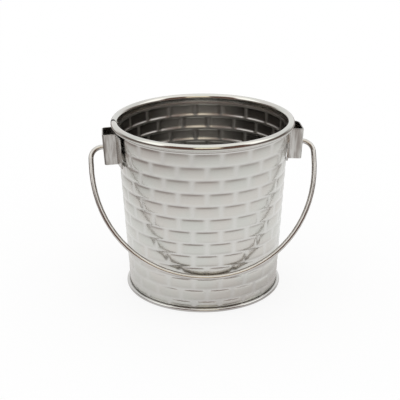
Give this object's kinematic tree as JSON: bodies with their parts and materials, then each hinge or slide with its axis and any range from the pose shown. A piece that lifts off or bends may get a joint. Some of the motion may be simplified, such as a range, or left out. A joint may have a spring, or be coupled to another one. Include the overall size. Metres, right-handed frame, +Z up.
{
  "type": "serving pail",
  "caption": "Small tapered stainless steel serving pail with a pressed brick pattern, a rolled rim, a seamed base and a swinging wire bail.",
  "frame": {"origin": "centre of the face the pail rests on, level with the underside of the base ring", "axes": "+Z up, +X through the right ear along the bail's pivots, the bail resting against the front of the wall towards -Y"},
  "size_m": [0.111, 0.0888, 0.0857],
  "materials": {
    "wall_steel": "bright polished stainless sheet, pressed with bricks",
    "base_steel": "bright polished stainless sheet",
    "ear_steel": "smooth rolled stainless strip",
    "bail_wire": "bright drawn stainless wire"
  },
  "bodies": {
    "pail": {"body_wall": "wall_steel", "base_plate": "base_steel", "ear_left": "ear_steel", "ear_right": "ear_steel"},
    "bail": {"bail": "bail_wire"}
  },
  "joints": [
    {"name": "bail_swing", "type": "hinge", "parent": "pail", "child": "bail", "pos_m": [0, 0, 0.07217], "axis": [-1, 0, 0], "range_deg": [0, 286.5]}
  ]
}
